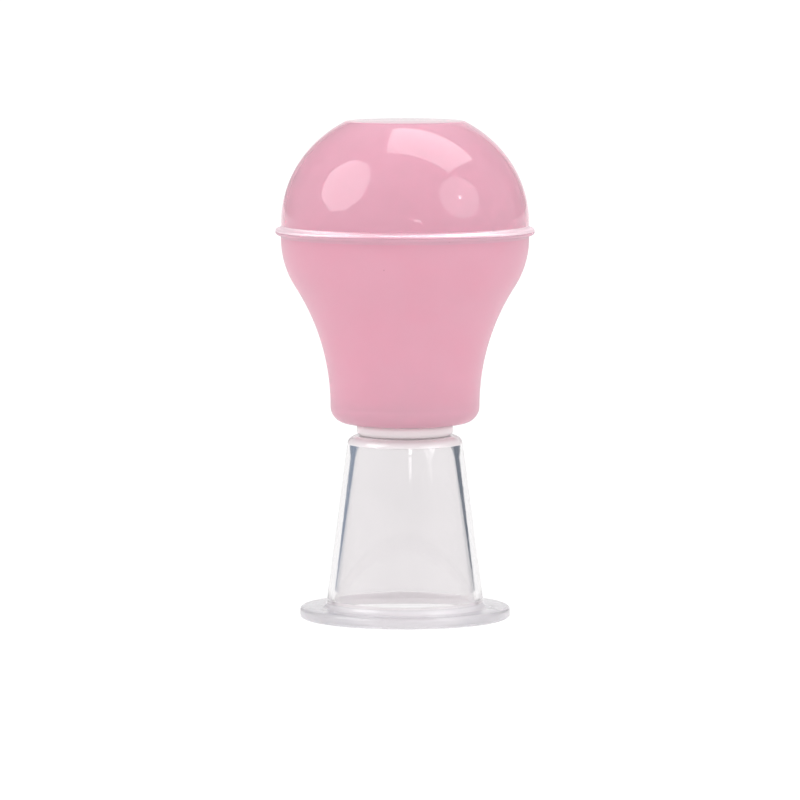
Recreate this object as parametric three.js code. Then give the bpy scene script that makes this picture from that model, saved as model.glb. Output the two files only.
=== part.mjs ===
// Squeeze-bulb cupping cup: a clear flanged cup with a hollow spigot, a sealing ring
// on that spigot, and a soft two-part bulb. Millimetres, +Z up. The origin is the
// centre of the flange's underside, and every piece is turned about the Z axis.
import * as THREE from 'three';

// ---- driving dimensions ----
const overallHeight = 94.4;
const segments = 48; // facets round the axis
const seat = 0.3; // gap left between pieces that rest on each other
const quarter = Math.PI / 2;

const flange = { radius: 20, thickness: 2.1, edgeRadius: 0.7 };

const cupWall = {
  shoulderHeight: 34.7, // top face of the cup
  outerRadiusAtFlange: 15.05,
  outerRadiusAtShoulder: 10.8, // where the drafted wall would meet the top face
  shoulderRadius: 1.8,
  rootFillet: 1.1, // outside, between wall and flange
  thicknessAtMouth: 1.35,
  thicknessAtCeiling: 1.6,
  ceilingThickness: 1.9,
  ceilingRadius: 1.6,
  mouthFlare: 1.3, // bell mouth rolled into the underside
};

const spigot = {
  radius: 7.3,
  boreRadius: 5.4,
  topHeight: 46.6,
  rootFillet: 0.25,
  tipRadius: 0.5,
  ridgeHeights: [41.2, 43.8], // crest heights of the two grip ridges
  ridgeProud: 0.35,
  ridgeRamp: 1.1, // length of the lead-in above a crest
};

const ring = { radius: 9.2, edgeRadius: 0.55, bulge: 0.15 };

const bulb = {
  mouthFace: 37.1, // underside
  mouthOuterRadius: 14.15,
  mouthCornerRadius: 3.2,
  mouthBore: 7.95,
  sleeveRadius: 9.5, // inner sleeve that grips the spigot
  sleeveHeight: 5.2,
  floorThickness: 2.6,
  waistLevel: 40.4, // height at which the waist is upright
  widestLevel: 72.2, // the wall is upright from here to the joint
  partingHeight: 73.5, // joint between body and dome
  maxRadius: 23.5,
  convexRadius: 17, // profile radius under the widest level
  bodyWall: 0.95,
  domeCentre: 75.2,
  domeRise: 21.8, // half height of the dome's full ellipse
  domeInnerRadius: 22.75,
  domeInnerRise: 20.1,
  topThickness: 1.3,
  topInnerFillet: 1.5,
};

const lip = { proud: 1.05, halfHeight: 1.2, tipRadius: 0.4 };

// ---- colours and finishes ----
const materials = {
  clearPlastic: new THREE.MeshStandardMaterial({
    color: 0xe6e4e6,
    roughness: 0.08,
    metalness: 0,
    transparent: true,
    opacity: 0.35,
  }),
  milkySilicone: new THREE.MeshStandardMaterial({ color: 0xe8d8dc, roughness: 0.35, metalness: 0 }),
  glossPink: new THREE.MeshStandardMaterial({ color: 0xf0b3c8, roughness: 0.12, metalness: 0 }),
  satinPink: new THREE.MeshStandardMaterial({ color: 0xe6a5bb, roughness: 0.5, metalness: 0 }),
};

// ---- profile helpers: r is the distance from the axis, z the height ----
const point = (r, z) => new THREE.Vector2(r, z);

function ellipseArc(centreR, centreZ, radiusR, radiusZ, from, to, steps) {
  const points = [];
  for (let i = 0; i <= steps; i += 1) {
    const angle = from + ((to - from) * i) / steps;
    points.push(point(centreR + radiusR * Math.cos(angle), centreZ + radiusZ * Math.sin(angle)));
  }
  return points;
}

const arc = (r, z, radius, from, to, steps) => ellipseArc(r, z, radius, radius, from, to, steps);

function turned(name, profile, material) {
  const geometry = new THREE.LatheGeometry(profile, segments);
  geometry.rotateX(quarter); // the lathe turns about Y; the part stands along Z
  const mesh = new THREE.Mesh(geometry, material);
  mesh.name = name;
  return mesh;
}

// ---- cup: flange, drafted wall, ceiling and ridged spigot in one moulding ----
function outerWallRadius(z) {
  const slope = (cupWall.outerRadiusAtFlange - cupWall.outerRadiusAtShoulder)
    / (cupWall.shoulderHeight - flange.thickness);
  return cupWall.outerRadiusAtFlange - slope * (z - flange.thickness);
}

function spigotOutline() {
  const outline = [
    ...arc(spigot.radius + spigot.rootFillet, cupWall.shoulderHeight + spigot.rootFillet,
      spigot.rootFillet, 3 * quarter, 2 * quarter, 2),
  ];
  for (const crest of spigot.ridgeHeights) {
    outline.push(point(spigot.radius, crest - spigot.ridgeProud));
    outline.push(point(spigot.radius + spigot.ridgeProud, crest));
    outline.push(point(spigot.radius, crest + spigot.ridgeRamp));
  }
  const tip = spigot.tipRadius;
  outline.push(...arc(spigot.radius - tip, spigot.topHeight - tip, tip, 0, quarter, 2));
  outline.push(...arc(spigot.boreRadius + tip, spigot.topHeight - tip, tip, quarter, 2 * quarter, 2));
  return outline;
}

function cupProfile() {
  const draft = Math.atan2(outerWallRadius(0) - outerWallRadius(1), 1);
  const edge = flange.edgeRadius;
  const root = cupWall.rootFillet;
  const shoulder = cupWall.shoulderRadius;
  const ceiling = cupWall.shoulderHeight - cupWall.ceilingThickness;
  const innerTop = outerWallRadius(ceiling) - cupWall.thicknessAtCeiling;
  const flareTop = flange.thickness + cupWall.mouthFlare;
  const innerMouth = outerWallRadius(flareTop) - cupWall.thicknessAtMouth;
  const innerDraft = Math.atan2(innerMouth - innerTop, ceiling - flareTop);
  const inner = cupWall.ceilingRadius;
  const filletCentreZ = flange.thickness + root;
  const shoulderCentreZ = cupWall.shoulderHeight - shoulder;
  const shoulderCentreR = outerWallRadius(shoulderCentreZ) - shoulder / Math.cos(draft);
  const filletCentreR = outerWallRadius(filletCentreZ) + root / Math.cos(draft);
  return [
    point(innerMouth + cupWall.mouthFlare, 0),
    ...arc(flange.radius - edge, edge, edge, -quarter, 0, 3),
    ...arc(flange.radius - edge, flange.thickness - edge, edge, 0, quarter, 3),
    ...arc(filletCentreR, filletCentreZ, root, 3 * quarter, 2 * quarter + draft, 3),
    ...arc(shoulderCentreR, shoulderCentreZ, shoulder, draft, quarter, 5),
    ...spigotOutline(),
    point(spigot.boreRadius, ceiling),
    ...arc(innerTop - inner, ceiling - inner, inner, quarter, innerDraft, 3),
    ...ellipseArc(innerMouth + cupWall.mouthFlare, flareTop, cupWall.mouthFlare, flareTop,
      2 * quarter, 3 * quarter, 5),
  ];
}

// ---- sealing ring: slipped over the spigot, pinched between cup and bulb ----
function ringProfile() {
  const bottom = cupWall.shoulderHeight + seat / 2;
  const top = bulb.mouthFace - seat / 2;
  const inner = spigot.radius + spigot.rootFillet + seat / 2;
  const edge = ring.edgeRadius;
  const shoulder = ring.radius - ring.bulge;
  return [
    point(inner, bottom),
    ...arc(shoulder - edge, bottom + edge, edge, -quarter, 0, 3),
    point(ring.radius, (bottom + top) / 2),
    ...arc(shoulder - edge, top - edge, edge, 0, quarter, 3),
    point(inner, top),
    point(inner, bottom),
  ];
}

// ---- bulb body: waisted lower half, floor and gripping sleeve ----
// A convex arc runs down from the widest level and meets, tangentially, a concave
// arc that ends upright at the waist.
function bodyArcs(inset) {
  const maxRadius = bulb.maxRadius - inset;
  const waistRadius = bulb.mouthOuterRadius - inset;
  const drop = bulb.widestLevel - bulb.waistLevel;
  const step = maxRadius - waistRadius;
  const radiusSum = (step * step + drop * drop) / (2 * step);
  const convex = bulb.convexRadius - inset;
  const concave = radiusSum - convex;
  const turn = Math.acos(1 - step / radiusSum);
  return {
    convex: (from, to, steps) => arc(maxRadius - convex, bulb.widestLevel, convex, from, to, steps),
    concave: (from, to, steps) => arc(waistRadius + concave, bulb.waistLevel, concave, from, to, steps),
    turn,
  };
}

function bodyProfile() {
  const face = bulb.partingHeight - seat / 2;
  const outer = bodyArcs(0);
  const inner = bodyArcs(bulb.bodyWall);
  const corner = bulb.mouthCornerRadius;
  const floorTop = bulb.mouthFace + bulb.floorThickness;
  const sleeveTop = bulb.mouthFace + bulb.sleeveHeight;
  const innerCorner = corner - bulb.bodyWall;
  const innerWaist = bulb.mouthOuterRadius - bulb.bodyWall;
  return [
    point(bulb.mouthBore, bulb.mouthFace),
    ...arc(bulb.mouthOuterRadius - corner, bulb.mouthFace + corner, corner, -quarter, 0, 5),
    ...outer.concave(2 * quarter, 2 * quarter - outer.turn, 8).slice(1),
    ...outer.convex(-outer.turn, 0, 7).slice(1),
    point(bulb.maxRadius, bulb.partingHeight - lip.halfHeight),
    ...lipOutline(face, -1).reverse(),
    point(bulb.maxRadius - bulb.bodyWall, face),
    ...inner.convex(0, -inner.turn, 7),
    ...inner.concave(2 * quarter - inner.turn, 2 * quarter, 8).slice(1),
    ...arc(innerWaist - innerCorner, floorTop + innerCorner, innerCorner, 0, -quarter, 3),
    point(bulb.sleeveRadius, floorTop),
    point(bulb.sleeveRadius, sleeveTop),
    point(bulb.mouthBore, sleeveTop),
    point(bulb.mouthBore, bulb.mouthFace),
  ];
}

// Half of the equator lip, from the joint face outwards and away from it.
// side is 1 above the joint and -1 below it.
function lipOutline(face, side) {
  const tip = lip.tipRadius;
  const reach = bulb.maxRadius + lip.proud;
  return arc(reach - tip, face + side * tip, tip, -side * quarter, side * quarter / 2, 4);
}

// ---- bulb dome: polished cap with a flat thumb face ----
function domeProfile() {
  const face = bulb.partingHeight + seat / 2;
  const innerTop = overallHeight - bulb.topThickness;
  const fillet = bulb.topInnerFillet;
  const outerStart = Math.asin((bulb.partingHeight + lip.halfHeight - bulb.domeCentre) / bulb.domeRise);
  const outerEnd = Math.asin((overallHeight - bulb.domeCentre) / bulb.domeRise);
  const innerStart = Math.asin((innerTop - fillet / 2 - bulb.domeCentre) / bulb.domeInnerRise);
  const innerEnd = Math.asin((face - bulb.domeCentre) / bulb.domeInnerRise);
  const innerFlat = bulb.domeInnerRadius * Math.cos(innerStart) - fillet;
  return [
    point(0, innerTop),
    point(innerFlat, innerTop),
    ...ellipseArc(0, bulb.domeCentre, bulb.domeInnerRadius, bulb.domeInnerRise, innerStart, innerEnd, 11),
    ...lipOutline(face, 1),
    ...ellipseArc(0, bulb.domeCentre, bulb.maxRadius, bulb.domeRise, outerStart, outerEnd, 13),
    point(0, overallHeight),
  ];
}

const cuppingCup = new THREE.Group();
cuppingCup.add(
  turned('cup', cupProfile(), materials.clearPlastic),
  turned('seal_ring', ringProfile(), materials.milkySilicone),
  turned('bulb_body', bodyProfile(), materials.satinPink),
  turned('bulb_dome', domeProfile(), materials.glossPink),
);

export default cuppingCup;
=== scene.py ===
# Squeeze-bulb cupping cup: a soft pink bulb on a clear flanged cup
import math

import bmesh
import bpy
from mathutils import Matrix, Quaternion, Vector


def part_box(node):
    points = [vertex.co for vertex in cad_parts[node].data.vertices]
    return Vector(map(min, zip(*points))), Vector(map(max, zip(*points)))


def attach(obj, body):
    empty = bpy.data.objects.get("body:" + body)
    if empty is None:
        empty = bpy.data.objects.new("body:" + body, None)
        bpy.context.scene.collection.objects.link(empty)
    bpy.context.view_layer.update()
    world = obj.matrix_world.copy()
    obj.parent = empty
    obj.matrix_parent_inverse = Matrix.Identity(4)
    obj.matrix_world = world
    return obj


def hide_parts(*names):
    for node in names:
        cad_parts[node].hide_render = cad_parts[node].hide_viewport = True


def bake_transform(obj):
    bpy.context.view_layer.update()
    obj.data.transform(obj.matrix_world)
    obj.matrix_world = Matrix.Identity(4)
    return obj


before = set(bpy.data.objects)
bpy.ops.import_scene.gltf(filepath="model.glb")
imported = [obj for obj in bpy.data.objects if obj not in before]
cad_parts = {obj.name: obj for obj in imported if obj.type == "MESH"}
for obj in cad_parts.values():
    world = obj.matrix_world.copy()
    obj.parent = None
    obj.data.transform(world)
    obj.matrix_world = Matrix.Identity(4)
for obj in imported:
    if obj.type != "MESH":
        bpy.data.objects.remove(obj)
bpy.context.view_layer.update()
scene = bpy.context.scene
mm = 0.001
fullTurn = 2 * math.pi
print("frame loaded")


def boxInMm(node):
    low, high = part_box(node)
    return low / mm, high / mm


cupHigh = boxInMm("cup")[1]
ringLow, ringHigh = boxInMm("seal_ring")
bodyLow, bodyHigh = boxInMm("bulb_body")
domeLow, domeHigh = boxInMm("bulb_dome")


# A profile is drawn point by point in the XZ plane, in millimetres, then spun about Z.

def startProfile(bm, r, z):
    return [bm.verts.new((r * mm, 0, z * mm))]


def lineTo(bm, path, r, z):
    made = bmesh.ops.extrude_vert_indiv(bm, verts=[path[-1]])
    made["verts"][0].co = (r * mm, 0, z * mm)
    path.append(made["verts"][0])


def straightTo(bm, path, r, z, steps):
    # a line cut into even steps, so long walls keep square-ish faces
    start = path[-1].co / mm
    for step in range(1, steps + 1):
        share = step / steps
        lineTo(bm, path, start.x + (r - start.x) * share, start.z + (z - start.z) * share)


def arcTo(bm, path, centreR, centreZ, degrees, steps):
    # positive degrees turn from +r towards +z
    vert = path[-1]
    for _ in range(steps):
        made = bmesh.ops.spin(bm, geom=[vert], cent=(centreR * mm, 0, centreZ * mm), axis=(0, 1, 0),
                              dvec=(0, 0, 0), angle=-math.radians(degrees) / steps, steps=1)
        vert = next(g for g in made["geom_last"] if isinstance(g, bmesh.types.BMVert))
        path.append(vert)


def stretchPath(bm, verts, centreZ, factor):
    # turns round arcs into elliptical ones
    bmesh.ops.scale(bm, verts=verts, vec=(1, 1, factor), space=Matrix.Translation((0, 0, -centreZ * mm)))


def spinPath(bm, path, columns, slotIndex=0):
    before = set(bm.faces)
    onPath = set(path)
    edges = list({e for v in path for e in v.link_edges if e.other_vert(v) in onPath})
    bmesh.ops.spin(bm, geom=path + edges, cent=(0, 0, 0), axis=(0, 0, 1), dvec=(0, 0, 0),
                   angle=fullTurn, steps=columns, use_merge=True)
    for face in bm.faces:
        if face not in before:
            face.material_index = slotIndex


def finishPiece(bm, name, node, materials):
    bmesh.ops.remove_doubles(bm, verts=bm.verts[:], dist=0.001 * mm)
    bmesh.ops.recalc_face_normals(bm, faces=bm.faces[:])
    for face in bm.faces:
        face.smooth = True
    mesh = bpy.data.meshes.new(name)
    bm.to_mesh(mesh)
    bm.free()
    for material in materials:
        mesh.materials.append(material)
    piece = bpy.data.objects.new(name, mesh)
    scene.collection.objects.link(piece)
    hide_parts(node)
    print("made", name, len(mesh.polygons), "faces")
    return piece


# Small node helpers: a plain number sets a socket, another node's socket is linked to it.

def feed(tree, socket, value):
    if isinstance(value, bpy.types.NodeSocket):
        tree.links.new(value, socket)
    else:
        socket.default_value = value


def calc(tree, operation, *values):
    node = tree.nodes.new("ShaderNodeMath")
    node.operation = operation
    for socket, value in zip(node.inputs, values):
        feed(tree, socket, value)
    return node.outputs[0]


def ramp(tree, value, low, high, outLow=0.0, outHigh=1.0):
    node = tree.nodes.new("ShaderNodeMapRange")
    node.interpolation_type = "SMOOTHSTEP"
    for label, given in (("Value", value), ("From Min", low), ("From Max", high),
                         ("To Min", outLow), ("To Max", outHigh)):
        feed(tree, node.inputs[label], given)
    return node.outputs["Result"]


colourA, colourB, colourResult = 6, 7, 2    # where a mix node keeps its colour sockets


def mixColour(tree, factor, first, second):
    node = tree.nodes.new("ShaderNodeMix")
    node.data_type = "RGBA"
    feed(tree, node.inputs["Factor"], factor)
    for socket, value in ((node.inputs[colourA], first), (node.inputs[colourB], second)):
        feed(tree, socket, value if isinstance(value, bpy.types.NodeSocket) else (*value, 1))
    return node.outputs[colourResult]


def noise(tree, place, scale, detail):
    node = tree.nodes.new("ShaderNodeTexNoise")
    feed(tree, node.inputs["Vector"], place)
    feed(tree, node.inputs["Scale"], scale)
    node.inputs["Detail"].default_value = detail
    return node.outputs["Fac"]


def newGroup(name, inputs, outputs):
    group = bpy.data.node_groups.new(name, "ShaderNodeTree")
    group.interface.new_socket("Place", in_out="INPUT", socket_type="NodeSocketVector")
    for label in inputs:
        group.interface.new_socket(label, in_out="INPUT", socket_type="NodeSocketFloat")
    for label in outputs:
        group.interface.new_socket(label, in_out="OUTPUT", socket_type="NodeSocketFloat")
    return group, group.nodes.new("NodeGroupInput").outputs, group.nodes.new("NodeGroupOutput").inputs


def addGroup(tree, group, place, values):
    node = tree.nodes.new("ShaderNodeGroup")
    node.node_tree = group
    feed(tree, node.inputs["Place"], place)
    for label, value in values.items():
        feed(tree, node.inputs[label], value)
    return node.outputs


# shared by all finishes; each layer of marks has a tilt in degrees and a stretch
texture = {
    "grainDetail": 2, "cloudDetail": 3, "cloudFrom": 0.3, "cloudTo": 0.7, "speckCore": 0.6,
    "speckRoughness": 0.3, "markLayers": ((25, 0.07), (-60, 0.11)),
}


def makeSkinGroup():
    # moulded skin: fine grain for bump, slow clouds for tone and sheen; sizes in mm
    group, given, out = newGroup("mouldedSkin", ("Grain Size", "Cloud Size"), ("Grain", "Cloud"))
    perMm = 1 / mm
    grain = noise(group, given["Place"], calc(group, "DIVIDE", perMm, given["Grain Size"]),
                  texture["grainDetail"])
    cloud = noise(group, given["Place"], calc(group, "DIVIDE", perMm, given["Cloud Size"]),
                  texture["cloudDetail"])
    group.links.new(grain, out["Grain"])
    group.links.new(ramp(group, cloud, texture["cloudFrom"], texture["cloudTo"]), out["Cloud"])
    return group


def makeSpeckGroup():
    # lint and dust: one cell in a few holds a speck; sizes in mm
    group, given, out = newGroup("dustSpecks", ("Spacing", "Radius", "Share"), ("Mask",))
    cells = group.nodes.new("ShaderNodeTexVoronoi")
    group.links.new(given["Place"], cells.inputs["Vector"])
    group.links.new(calc(group, "DIVIDE", 1 / mm, given["Spacing"]), cells.inputs["Scale"])
    reach = calc(group, "MULTIPLY", cells.outputs["Distance"], given["Spacing"])
    core = calc(group, "MULTIPLY", given["Radius"], texture["speckCore"])
    dot = ramp(group, reach, given["Radius"], core)
    draw = group.nodes.new("ShaderNodeSeparateColor")
    group.links.new(cells.outputs["Color"], draw.inputs["Color"])
    chosen = calc(group, "LESS_THAN", draw.outputs["Red"], given["Share"])
    group.links.new(calc(group, "MULTIPLY", dot, chosen), out["Mask"])
    return group


def makeHairlineGroup():
    # handling marks: thin level lines of stretched noise, in two directions; size in mm
    group, given, out = newGroup("hairlines", ("Spacing", "Width"), ("Mask",))
    layers = []
    for tilt, stretch in texture["markLayers"]:
        turned = group.nodes.new("ShaderNodeMapping")
        group.links.new(given["Place"], turned.inputs["Vector"])
        turned.inputs["Rotation"].default_value = (math.radians(tilt), math.radians(tilt / 2), 0)
        turned.inputs["Scale"].default_value = (1, 1, stretch)
        field = noise(group, turned.outputs["Vector"], calc(group, "DIVIDE", 1 / mm, given["Spacing"]), 0)
        level = calc(group, "ABSOLUTE", calc(group, "SUBTRACT", field, 0.5))
        layers.append(ramp(group, level, given["Width"], 0.0))
    group.links.new(calc(group, "MAXIMUM", *layers), out["Mask"])
    return group


skinGroup = makeSkinGroup()
speckGroup = makeSpeckGroup()
hairlineGroup = makeHairlineGroup()
print("finish groups made")


def makeFinish(name, finish):
    material = bpy.data.materials.new(name)
    material.use_nodes = True
    tree = material.node_tree
    shader = tree.nodes["Principled BSDF"]
    place = tree.nodes.new("ShaderNodeTexCoord").outputs["Object"]
    skin = addGroup(tree, skinGroup, place, {"Grain Size": finish["grainSize"],
                                             "Cloud Size": finish["cloudSize"]})
    specks = addGroup(tree, speckGroup, place, {"Spacing": finish["speckSpacing"],
                                                "Radius": finish["speckRadius"],
                                                "Share": finish["speckShare"]})
    marks = addGroup(tree, hairlineGroup, place, {"Spacing": finish["markSpacing"],
                                                  "Width": finish["markWidth"]})
    tone = mixColour(tree, skin["Cloud"], finish["colour"], finish["cloudColour"])
    feed(tree, shader.inputs["Base Color"], mixColour(tree, specks["Mask"], tone, finish["speckColour"]))
    sheen = ramp(tree, skin["Cloud"], 0, 1, finish["roughness"], finish["cloudRoughness"])
    worn = calc(tree, "MULTIPLY_ADD", marks["Mask"], finish["markRoughness"], sheen)
    dulled = calc(tree, "MULTIPLY_ADD", specks["Mask"], texture["speckRoughness"], worn)
    feed(tree, shader.inputs["Roughness"], dulled)
    bump = tree.nodes.new("ShaderNodeBump")
    bump.inputs["Distance"].default_value = finish["grainDepth"] * mm
    feed(tree, bump.inputs["Height"], skin["Grain"])
    feed(tree, shader.inputs["Normal"], bump.outputs["Normal"])
    shader.inputs["IOR"].default_value = finish["ior"]
    shader.inputs["Transmission Weight"].default_value = finish["transmission"]
    return material


siliconeIor = 1.41
plasticIor = 1.5

domeFinish = {
    "colour": (0.935, 0.595, 0.71), "cloudColour": (0.94, 0.61, 0.725), "speckColour": (0.97, 0.8, 0.86),
    "roughness": 0.045, "cloudRoughness": 0.06, "ior": siliconeIor, "transmission": 0.6,
    "grainSize": 3.0, "grainDepth": 0.004, "cloudSize": 14,
    "speckSpacing": 5, "speckRadius": 0.16, "speckShare": 0.05,
    "markSpacing": 5, "markWidth": 0.002, "markRoughness": 0.06,
}
bodyFinish = {
    "colour": (0.935, 0.505, 0.625), "cloudColour": (0.94, 0.53, 0.65), "speckColour": (0.75, 0.4, 0.5),
    "roughness": 0.33, "cloudRoughness": 0.38, "ior": siliconeIor, "transmission": 0.45,
    "grainSize": 0.35, "grainDepth": 0.006, "cloudSize": 11,
    "speckSpacing": 4, "speckRadius": 0.2, "speckShare": 0.09,
    "markSpacing": 4, "markWidth": 0.002, "markRoughness": 0.03,
}
# the lip is the body's silicone painted a lighter pink: painted light that brightens the bead and lifts the
# shade under it; its rougher finish is real
lipPaintedLightFinish = dict(bodyFinish, colour=(0.9, 0.57, 0.68), cloudColour=(0.9, 0.59, 0.7), roughness=0.36,
                 cloudRoughness=0.42, markRoughness=0.0)
# the inside is the body's silicone painted a lighter pink: painted light that lifts the dark band at the
# bottom of the bulb; its rougher finish is real
cavityPaintedLightFinish = dict(bodyFinish, colour=(0.97, 0.56, 0.68), roughness=0.4, cloudRoughness=0.5, speckShare=0.0,
                    markRoughness=0.0, transmission=0.6)
# milky silicone ring; its base is raised near white as painted light that lifts the shade between bulb and
# cup, and its pink tint is painted light from the pink bulb
ringPaintedLightFinish = {
    "colour": (0.99, 0.93, 0.94), "cloudColour": (0.99, 0.94, 0.95), "speckColour": (0.8, 0.75, 0.76),
    "roughness": 0.12, "cloudRoughness": 0.18, "ior": siliconeIor, "transmission": 0.18,
    "grainSize": 0.5, "grainDepth": 0.006, "cloudSize": 6,
    "speckSpacing": 4, "speckRadius": 0.15, "speckShare": 0.05,
    "markSpacing": 3, "markWidth": 0.002, "markRoughness": 0.0,
}
cupFinish = {
    "colour": (0.835, 0.818, 0.826), "cloudColour": (0.85, 0.832, 0.84), "speckColour": (0.75, 0.76, 0.8),
    "roughness": 0.02, "cloudRoughness": 0.04, "ior": plasticIor, "transmission": 1.0,
    "grainSize": 2.2, "grainDepth": 0.002, "cloudSize": 9,
    "speckSpacing": 4, "speckRadius": 0.15, "speckShare": 0.06,
    "markSpacing": 3, "markWidth": 0.006, "markRoughness": 0.08,
}
# frosted plastic for the shoulder, spigot, mouth flare, ceiling and bore; its pink tint is a painted
# reflection of the pink bulb, and the ceiling's copy carries it too
hazePaintedPinkFinish = dict(cupFinish, colour=(0.99, 0.94, 0.955), cloudColour=(0.99, 0.95, 0.965), roughness=0.04,
                  cloudRoughness=0.07, transmission=0.42)
ceilingPaintedPinkFinish = dict(hazePaintedPinkFinish, transmission=0.25)
flangeFinish = dict(cupFinish, colour=(0.785, 0.765, 0.795), cloudColour=(0.81, 0.79, 0.82), roughness=0.12,
                    cloudRoughness=0.18, transmission=0.5)

polishedSilicone = makeFinish("polishedSilicone", domeFinish)
satinSilicone = makeFinish("satinSilicone", bodyFinish)
lipSiliconePaintedLight = makeFinish("lipSiliconePaintedLight", lipPaintedLightFinish)
cavitySiliconePaintedLight = makeFinish("cavitySiliconePaintedLight", cavityPaintedLightFinish)
milkySiliconePaintedLight = makeFinish("milkySiliconePaintedLight", ringPaintedLightFinish)
clearPlastic = makeFinish("clearPlastic", cupFinish)
hazyPlasticPaintedPink = makeFinish("hazyPlasticPaintedPink", hazePaintedPinkFinish)
frostedPlasticPaintedPink = makeFinish("frostedPlasticPaintedPink", ceilingPaintedPinkFinish)
flangePlastic = makeFinish("flangePlastic", flangeFinish)
print("finishes made")

# the ceiling is thinner than the solid's and the wall a little thicker: inside a clear wall a thick
# ceiling shows as a second disc
cup = {
    "flangeRadius": cupHigh.x, "spigotTop": cupHigh.z, "flangeThickness": 2.1, "flangeEdge": 0.7,
    "shoulderHeight": 34.7, "outerAtFlange": 15.05, "outerAtShoulder": 10.8, "shoulderRadius": 1.8,
    "rootFillet": 1.1, "wallAtMouth": 1.4, "wallAtCeiling": 1.72, "ceiling": 1.1, "ceilingRadius": 0.9,
    "mouthFlare": 1.3, "spigotRadius": 7.3, "boreRadius": 5.4, "ridges": (41.2, 43.8), "ridgeProud": 0.35,
    "ridgeRamp": 1.1, "tipRadius": 0.5, "columns": 192,
}


# finishes by place: wall; shoulder, spigot and mouth flare; flange; ceiling and bore
clearSlot, hazySlot, flangeSlot, frostedSlot = range(4)


def cupOuterRadius(z):
    rise = cup["shoulderHeight"] - cup["flangeThickness"]
    slope = (cup["outerAtFlange"] - cup["outerAtShoulder"]) / rise
    return cup["outerAtFlange"] - slope * (z - cup["flangeThickness"])


def drawCupOutside(bm, path):
    # milky flange, clear wall, then a hazy shoulder and spigot
    edge = cup["flangeEdge"]
    flat = cup["flangeRadius"] - edge
    lineTo(bm, path, flat, 0)
    arcTo(bm, path, flat, edge, 90, steps=8)
    lineTo(bm, path, cup["flangeRadius"], cup["flangeThickness"] - edge)
    arcTo(bm, path, flat, cup["flangeThickness"] - edge, 90, steps=8)
    draft = math.atan(cupOuterRadius(0) - cupOuterRadius(1))
    fillet = cup["rootFillet"]
    filletZ = cup["flangeThickness"] + fillet
    filletR = cupOuterRadius(filletZ) + fillet / math.cos(draft)
    lineTo(bm, path, filletR, cup["flangeThickness"])
    arcTo(bm, path, filletR, filletZ, math.degrees(draft) - 90, steps=8)
    spinPath(bm, path, cup["columns"], flangeSlot)
    path = startProfile(bm, filletR - fillet * math.cos(draft), filletZ - fillet * math.sin(draft))
    shoulder = cup["shoulderRadius"]
    shoulderZ = cup["shoulderHeight"] - shoulder
    shoulderR = cupOuterRadius(shoulderZ) - shoulder / math.cos(draft)
    wallTopR = shoulderR + shoulder * math.cos(draft)
    wallTopZ = shoulderZ + shoulder * math.sin(draft)
    straightTo(bm, path, wallTopR, wallTopZ, steps=14)
    spinPath(bm, path, cup["columns"], clearSlot)
    path = startProfile(bm, wallTopR, wallTopZ)
    arcTo(bm, path, shoulderR, shoulderZ, 90 - math.degrees(draft), steps=12)
    straightTo(bm, path, cup["spigotRadius"], cup["shoulderHeight"], steps=3)
    for crest in cup["ridges"]:
        lineTo(bm, path, cup["spigotRadius"], crest - cup["ridgeProud"])
        lineTo(bm, path, cup["spigotRadius"] + cup["ridgeProud"], crest)
        lineTo(bm, path, cup["spigotRadius"], crest + cup["ridgeRamp"])
    tip = cup["tipRadius"]
    tipZ = cup["spigotTop"] - tip
    lineTo(bm, path, cup["spigotRadius"], tipZ)
    arcTo(bm, path, cup["spigotRadius"] - tip, tipZ, 90, steps=4)
    lineTo(bm, path, cup["boreRadius"] + tip, cup["spigotTop"])
    arcTo(bm, path, cup["boreRadius"] + tip, tipZ, 90, steps=4)
    spinPath(bm, path, cup["columns"], hazySlot)


def makeCup():
    bm = bmesh.new()
    ceilingZ = cup["shoulderHeight"] - cup["ceiling"]
    innerTop = cupOuterRadius(ceilingZ) - cup["wallAtCeiling"]
    flareTop = cup["flangeThickness"] + cup["mouthFlare"]
    innerMouth = cupOuterRadius(flareTop) - cup["wallAtMouth"]
    innerDraft = math.degrees(math.atan((innerMouth - innerTop) / (ceilingZ - flareTop)))
    inner = cup["ceilingRadius"]
    path = startProfile(bm, innerMouth + cup["mouthFlare"], 0)
    drawCupOutside(bm, path)
    # inside, down the bore and the chamber to the mouth
    path = startProfile(bm, cup["boreRadius"], cup["spigotTop"] - cup["tipRadius"])
    lineTo(bm, path, cup["boreRadius"], ceilingZ)
    lineTo(bm, path, innerTop - inner, ceilingZ)
    arcTo(bm, path, innerTop - inner, ceilingZ - inner, innerDraft - 90, steps=8)
    wallTop = path[-1].co / mm
    spinPath(bm, path, cup["columns"], frostedSlot)
    path = startProfile(bm, wallTop.x, wallTop.z)
    straightTo(bm, path, innerMouth, flareTop, steps=14)
    spinPath(bm, path, cup["columns"], clearSlot)
    path = startProfile(bm, innerMouth, flareTop)
    arcTo(bm, path, innerMouth + cup["mouthFlare"], flareTop, 90, steps=10)
    stretchPath(bm, path, flareTop, flareTop / cup["mouthFlare"])
    spinPath(bm, path, cup["columns"], hazySlot)
    piece = finishPiece(bm, "clear_cup", "cup", [clearPlastic, hazyPlasticPaintedPink, flangePlastic, frostedPlasticPaintedPink])
    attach(piece, "cup")


ring = {"outer": ringHigh.x, "inner": 7.45, "sag": 0.13, "edge": 0.95, "chamfer": 0.2, "columns": 160}


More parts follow.
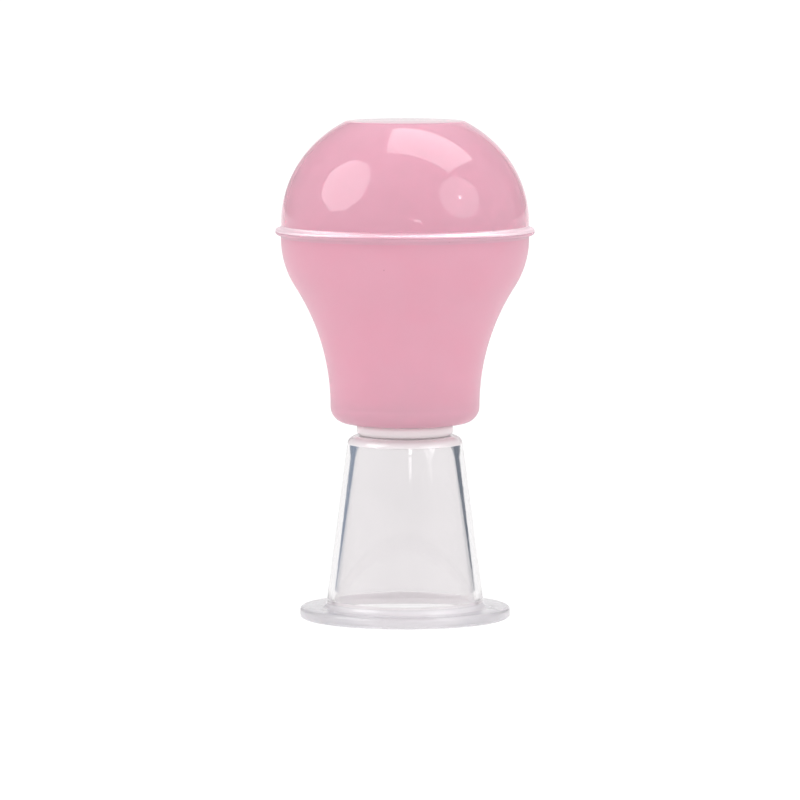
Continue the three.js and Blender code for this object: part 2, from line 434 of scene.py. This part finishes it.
def makeRing():
    # pressed flat between cup and bulb, so it fills nearly all of the gap that its solid leaves
    bm = bmesh.new()
    bottom = ringLow.z - ring["sag"]
    top = ringHigh.z + ring["sag"]
    flat = ring["outer"] - ring["edge"]
    inside = ring["inner"] + ring["chamfer"]
    path = startProfile(bm, inside, bottom)
    lineTo(bm, path, flat, bottom)
    arcTo(bm, path, flat, bottom + ring["edge"], 90, steps=6)
    lineTo(bm, path, ring["outer"], top - ring["edge"])
    arcTo(bm, path, flat, top - ring["edge"], 90, steps=6)
    lineTo(bm, path, inside, top)
    lineTo(bm, path, ring["inner"], top - ring["chamfer"])
    lineTo(bm, path, ring["inner"], bottom + ring["chamfer"])
    lineTo(bm, path, inside, bottom)
    spinPath(bm, path, ring["columns"])
    piece = finishPiece(bm, "sealing_ring", "seal_ring", [milkySiliconePaintedLight])
    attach(piece, "ring")


bulb = {
    "mouthFace": bodyLow.z, "mouthOuter": 14.15, "mouthCorner": 3.2, "mouthBore": 7.95, "sleeveRadius": 9.5,
    "sleeveHeight": 5.2, "sleeveEdge": 0.3, "floor": 2.6, "floorFillet": 0.4, "waistLevel": 40.4,
    "widestLevel": 72.2, "radius": 23.5, "convexRadius": 17, "wall": 0.95,
    "parting": (bodyHigh.z + domeLow.z) / 2, "partingGap": 0.03, "columns": 192,
    "gripMargin": 0.5, "lipMargin": 0.1,     # rigid lengths beyond the sleeve and the lip when pressed
}
lip = {"reach": domeHigh.x, "groove": 0.08, "rootFillet": 0.5}
lip["nose"] = lip["reach"] - bulb["radius"] - lip["rootFillet"]


# finishes by place: outside, inside, lip
skinSlot, cavitySlot, lipSlot = range(3)


def waistArcs(inset):
    # the convex arc under the widest level meets a concave arc that ends upright at the waist
    widest = bulb["radius"] - inset
    waist = bulb["mouthOuter"] - inset
    step = widest - waist
    drop = bulb["widestLevel"] - bulb["waistLevel"]
    radiusSum = (step * step + drop * drop) / (2 * step)
    convex = bulb["convexRadius"] - inset
    return {"widest": widest, "waist": waist, "convex": convex, "concave": radiusSum - convex,
            "turn": math.degrees(math.acos(1 - step / radiusSum))}


def lipRoot(face, side):
    # height at which the lip leaves the wall
    return face + side * (lip["groove"] + lip["nose"] + lip["rootFillet"])


def drawLip(bm, path, face, side):
    # hollow fillet, round nose and the fine groove at the joint; side is 1 above the joint, -1 below it
    noseR = lip["reach"] - lip["nose"]
    arcTo(bm, path, bulb["radius"] + lip["rootFillet"], lipRoot(face, side), side * 90, steps=6)
    arcTo(bm, path, noseR, face + side * lip["groove"], -side * 90, steps=8)
    arcTo(bm, path, lip["reach"] - lip["groove"], face + side * lip["groove"], -side * 90, steps=4)


def makeBody():
    bm = bmesh.new()
    outer = waistArcs(0)
    corner = bulb["mouthCorner"]
    face = bulb["parting"] - bulb["partingGap"] / 2
    path = startProfile(bm, bulb["mouthBore"] + bulb["sleeveEdge"], bulb["mouthFace"])
    lineTo(bm, path, bulb["mouthOuter"] - corner, bulb["mouthFace"])
    arcTo(bm, path, bulb["mouthOuter"] - corner, bulb["mouthFace"] + corner, 90, steps=10)
    lineTo(bm, path, bulb["mouthOuter"], bulb["waistLevel"])
    arcTo(bm, path, outer["waist"] + outer["concave"], bulb["waistLevel"], -outer["turn"], steps=28)
    arcTo(bm, path, outer["widest"] - outer["convex"], bulb["widestLevel"], outer["turn"], steps=22)
    lineTo(bm, path, bulb["radius"], lipRoot(face, -1))
    spinPath(bm, path, bulb["columns"], skinSlot)
    path = startProfile(bm, bulb["radius"], lipRoot(face, -1))
    drawLip(bm, path, face, -1)
    inner = waistArcs(bulb["wall"])
    lineTo(bm, path, inner["widest"], face)
    spinPath(bm, path, bulb["columns"], lipSlot)
    # inside: wall, floor and the sleeve round the mouth
    path = startProfile(bm, inner["widest"], face)
    lineTo(bm, path, inner["widest"], bulb["widestLevel"])
    arcTo(bm, path, inner["widest"] - inner["convex"], bulb["widestLevel"], -inner["turn"], steps=22)
    arcTo(bm, path, inner["waist"] + inner["concave"], bulb["waistLevel"], inner["turn"], steps=28)
    floorTop = bulb["mouthFace"] + bulb["floor"]
    sleeveTop = bulb["mouthFace"] + bulb["sleeveHeight"]
    innerCorner = corner - bulb["wall"]
    fillet = bulb["floorFillet"]
    edge = bulb["sleeveEdge"]
    lineTo(bm, path, inner["waist"], floorTop + innerCorner)
    arcTo(bm, path, inner["waist"] - innerCorner, floorTop + innerCorner, -90, steps=8)
    lineTo(bm, path, bulb["sleeveRadius"] + fillet, floorTop)
    arcTo(bm, path, bulb["sleeveRadius"] + fillet, floorTop + fillet, -90, steps=4)
    lineTo(bm, path, bulb["sleeveRadius"], sleeveTop - edge)
    arcTo(bm, path, bulb["sleeveRadius"] - edge, sleeveTop - edge, 90, steps=4)
    lineTo(bm, path, bulb["mouthBore"] + edge, sleeveTop)
    arcTo(bm, path, bulb["mouthBore"] + edge, sleeveTop - edge, 90, steps=4)
    lineTo(bm, path, bulb["mouthBore"], bulb["mouthFace"] + edge)
    arcTo(bm, path, bulb["mouthBore"] + edge, bulb["mouthFace"] + edge, 90, steps=4)
    spinPath(bm, path, bulb["columns"], cavitySlot)
    piece = finishPiece(bm, "bulb_lower_half", "bulb_body", [satinSilicone, cavitySiliconePaintedLight, lipSiliconePaintedLight])
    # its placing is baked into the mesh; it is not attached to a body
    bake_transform(piece)


dome = {
    "top": domeHigh.z, "centre": 75.2, "rise": 21.8, "topWall": 1.3, "innerRadius": 22.75,
    "innerRise": 20.1, "thumbEdge": 0.5, "columns": 192,
    # the soft edge of the thumb face: how far in and down its points lie, as shares of thumbEdge
    "edgeStart": 1 / 3, "edgeMiddle": (0.55, 0.09), "edgeEnd": 1.3,
}


def domeArc(bm, radius, rise, lowZ, highZ, steps):
    # elliptical stretch of wall between two heights, drawn as a round arc and then stretched
    low = math.degrees(math.asin((lowZ - dome["centre"]) / rise))
    high = math.degrees(math.asin((highZ - dome["centre"]) / rise))
    startR = radius * math.cos(math.radians(low))
    startZ = dome["centre"] + radius * math.sin(math.radians(low))
    path = startProfile(bm, startR, startZ)
    arcTo(bm, path, 0, dome["centre"], high - low, steps)
    stretchPath(bm, path, dome["centre"], rise / radius)
    return path, startR


def makeDome():
    bm = bmesh.new()
    face = bulb["parting"] + bulb["partingGap"] / 2
    lipTop = lipRoot(face, 1)
    edge = dome["thumbEdge"]
    # outside: ellipse, softened edge and flat thumb face
    edgeZ = dome["top"] - edge * dome["edgeStart"]
    path, _ = domeArc(bm, bulb["radius"], dome["rise"], lipTop, edgeZ, steps=44)
    rimR = path[-1].co.x / mm
    inward, down = dome["edgeMiddle"]
    lineTo(bm, path, rimR - edge * inward, dome["top"] - edge * down)
    lineTo(bm, path, rimR - edge * dome["edgeEnd"], dome["top"])
    lineTo(bm, path, 0, dome["top"])
    spinPath(bm, path, dome["columns"], skinSlot)
    # upper half of the lip
    path = startProfile(bm, bulb["radius"], lipTop)
    drawLip(bm, path, face, 1)
    lineTo(bm, path, dome["innerRadius"], face)
    spinPath(bm, path, dome["columns"], lipSlot)
    # inside: ellipse cut off by the inner flat
    innerTop = dome["top"] - dome["topWall"]
    path, innerR = domeArc(bm, dome["innerRadius"], dome["innerRise"], face, innerTop, steps=40)
    lineTo(bm, path, 0, innerTop)
    spinPath(bm, path, dome["columns"], cavitySlot)
    path = startProfile(bm, dome["innerRadius"], face)
    lineTo(bm, path, innerR, face)
    spinPath(bm, path, dome["columns"], skinSlot)
    piece = finishPiece(bm, "bulb_dome_half", "bulb_dome", [polishedSilicone, cavitySiliconePaintedLight, lipSiliconePaintedLight])
    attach(piece, "dome")


camera = {"distance": 1180, "height": 149, "aim": (-0.95, 0, 41.4), "lens": 281, "sensor": 36,
          "near": 50, "far": 50000}


def makeCamera():
    data = bpy.data.cameras.new("camera")
    data.lens = camera["lens"]
    data.sensor_width = camera["sensor"]
    data.clip_start = camera["near"] * mm
    data.clip_end = camera["far"] * mm
    eye = Vector((0, -camera["distance"], camera["height"])) * mm
    aim = Vector(camera["aim"]) * mm
    made = bpy.data.objects.new("camera", data)
    made.location = eye
    made.rotation_euler = (aim - eye).to_track_quat("-Z", "Y").to_euler()
    scene.collection.objects.link(made)
    scene.camera = made


studio = {
    "floorRadius": 20000, "floorSides": 96, "floorGap": 0.1, "floorGrey": 0.1, "aimHeight": 78,
    "floorSeen": 0.98, "floorLit": 1.0,
    "backdropSeen": 1.05, "backdropLit": 0.92, "sideLit": 1.25, "frontLit": 1.0, "ceilingLit": 1.35,
    # where the sides and the front take over, in degrees from the backdrop, and where the ceiling does,
    # as the sine of its elevation
    "sideFrom": 55, "sideTo": 90, "frontFrom": 110, "frontTo": 165, "ceilingFrom": 0.45, "ceilingTo": 0.9,
    # dark panels beside the backdrop, in degrees from it towards +X, to draw the edges of clear walls
    "flagTint": (0.6, 0.75, 1.0), "flagGlint": 0.55, "flagNearFade": 3, "flagFarFade": 10,
    "flags": ({"near": 21, "far": 50, "level": 0.2}, {"near": -13, "far": -48, "level": 0.4}),
}


def levelByRay(tree, seen, lit):
    # the camera sees one level directly, and the object is lit by another
    ray = tree.nodes.new("ShaderNodeLightPath")
    level = tree.nodes.new("ShaderNodeMix")
    level.data_type = "FLOAT"
    feed(tree, level.inputs["A"], lit)
    feed(tree, level.inputs["B"], seen)
    tree.links.new(ray.outputs["Is Camera Ray"], level.inputs["Factor"])
    return level.outputs["Result"]


def makeFloor():
    bm = bmesh.new()
    bmesh.ops.create_circle(bm, cap_ends=True, segments=studio["floorSides"],
                            radius=studio["floorRadius"] * mm)
    mesh = bpy.data.meshes.new("floor")
    bm.to_mesh(mesh)
    bm.free()
    made = bpy.data.objects.new("floor", mesh)
    made.location.z = -studio["floorGap"] * mm
    scene.collection.objects.link(made)
    material = bpy.data.materials.new("paleFloor")
    material.use_nodes = True
    tree = material.node_tree
    shader = tree.nodes["Principled BSDF"]
    shader.inputs["Base Color"].default_value = (*[studio["floorGrey"]] * 3, 1)
    shader.inputs["Specular IOR Level"].default_value = 0
    shader.inputs["Emission Color"].default_value = (1, 1, 1, 1)
    feed(tree, shader.inputs["Emission Strength"], levelByRay(tree, studio["floorSeen"], studio["floorLit"]))
    mesh.materials.append(material)


def makeWorld():
    world = bpy.data.worlds.new("studio")
    scene.world = world
    world.use_nodes = True
    tree = world.node_tree
    split = tree.nodes.new("ShaderNodeSeparateXYZ")
    tree.links.new(tree.nodes.new("ShaderNodeTexCoord").outputs["Generated"], split.inputs["Vector"])
    bearing = calc(tree, "ARCTAN2", split.outputs["X"], split.outputs["Y"])
    bearing = calc(tree, "DEGREES", bearing)
    turned = calc(tree, "ABSOLUTE", bearing)
    level = ramp(tree, turned, studio["frontFrom"], studio["frontTo"], studio["sideLit"], studio["frontLit"])
    level = ramp(tree, turned, studio["sideFrom"], studio["sideTo"], studio["backdropLit"], level)
    through = tree.nodes.new("ShaderNodeLightPath").outputs["Is Transmission Ray"]
    tint = (1, 1, 1)
    for flag in studio["flags"]:
        side = math.copysign(1, flag["near"])
        pastNear = ramp(tree, bearing, flag["near"] - studio["flagNearFade"] * side, flag["near"])
        beforeFar = ramp(tree, bearing, flag["far"] + studio["flagFarFade"] * side, flag["far"])
        inside = calc(tree, "MULTIPLY", pastNear, beforeFar)
        # full strength through clear walls, faint in reflections
        dark = ramp(tree, through, 0, 1, studio["flagGlint"], flag["level"])
        level = ramp(tree, inside, 0, 1, level, dark)
        tint = mixColour(tree, calc(tree, "MULTIPLY", inside, through), tint, studio["flagTint"])
    lit = ramp(tree, split.outputs["Z"], studio["ceilingFrom"], studio["ceilingTo"],
               level, studio["ceilingLit"])
    background = tree.nodes["Background"]
    feed(tree, background.inputs["Color"], tint)
    feed(tree, background.inputs["Strength"], levelByRay(tree, studio["backdropSeen"], lit))


softboxes = {
    # bearing is measured from the camera's side towards +X, in degrees; roll turns a box about its aim
    "leftBox": {"bearing": -70, "elevation": 35, "distance": 700, "size": (560, 600), "roll": 10,
                "radiance": 4.2, "shape": "octagon"},
    "rightBox": {"bearing": 57, "elevation": 26, "distance": 900, "size": (640, 640), "roll": 0,
                 "radiance": 2.4, "shape": "disc"},
    "sparkBox": {"bearing": 57, "elevation": 26, "distance": 880, "size": (50, 50), "roll": 20,
                 "radiance": 11.0, "shape": "octagon"},
    "topBox": {"bearing": 103.5, "elevation": 74.4, "distance": 830, "size": (550, 785), "roll": -26,
               "radiance": 4.2, "shape": "square"},
    "smallBox": {"bearing": 11, "elevation": 5.2, "distance": 400, "size": (44, 18), "roll": 0,
                 "radiance": 6.0, "shape": "square"},
}


def shapeSoftbox(data, shape):
    # cuts the corners off a square light
    data.use_nodes = True
    tree = data.node_tree
    emission = tree.nodes["Emission"]
    split = tree.nodes.new("ShaderNodeSeparateXYZ")
    tree.links.new(tree.nodes.new("ShaderNodeNewGeometry").outputs["Parametric"], split.inputs["Vector"])
    across = calc(tree, "ABSOLUTE", calc(tree, "MULTIPLY_ADD", split.outputs["X"], 2, -1))
    up = calc(tree, "ABSOLUTE", calc(tree, "MULTIPLY_ADD", split.outputs["Y"], 2, -1))
    if shape == "octagon":
        inside = calc(tree, "LESS_THAN", calc(tree, "ADD", across, up), math.sqrt(2))
    else:
        inside = calc(tree, "LESS_THAN", calc(tree, "ADD", calc(tree, "MULTIPLY", across, across),
                                              calc(tree, "MULTIPLY", up, up)), 1)
    feed(tree, emission.inputs["Strength"], inside)


def makeLights():
    target = Vector((0, 0, studio["aimHeight"] * mm))
    for name, box in softboxes.items():
        data = bpy.data.lights.new(name, "AREA")
        data.shape = "RECTANGLE"
        data.size = box["size"][0] * mm
        data.size_y = box["size"][1] * mm
        data.energy = box["radiance"] * data.size * data.size_y * math.pi
        bearing = math.radians(box["bearing"])
        elevation = math.radians(box["elevation"])
        away = Vector((math.sin(bearing) * math.cos(elevation), -math.cos(bearing) * math.cos(elevation),
                       math.sin(elevation)))
        made = bpy.data.objects.new(name, data)
        made.location = target + away * box["distance"] * mm
        turn = Quaternion((0, 0, 1), math.radians(box["roll"]))
        made.rotation_euler = ((-away).to_track_quat("-Z", "Y") @ turn).to_euler()
        made.visible_camera = False
        made.visible_diffuse = False    # the boxes only make highlights, the room makes the light
        if box["shape"] != "square":
            shapeSoftbox(data, box["shape"])
        scene.collection.objects.link(made)


makeCamera()
makeCup()
makeRing()
makeBody()
makeDome()
makeFloor()
makeWorld()
makeLights()
scene.view_settings.view_transform = "Standard"
print("scene made")
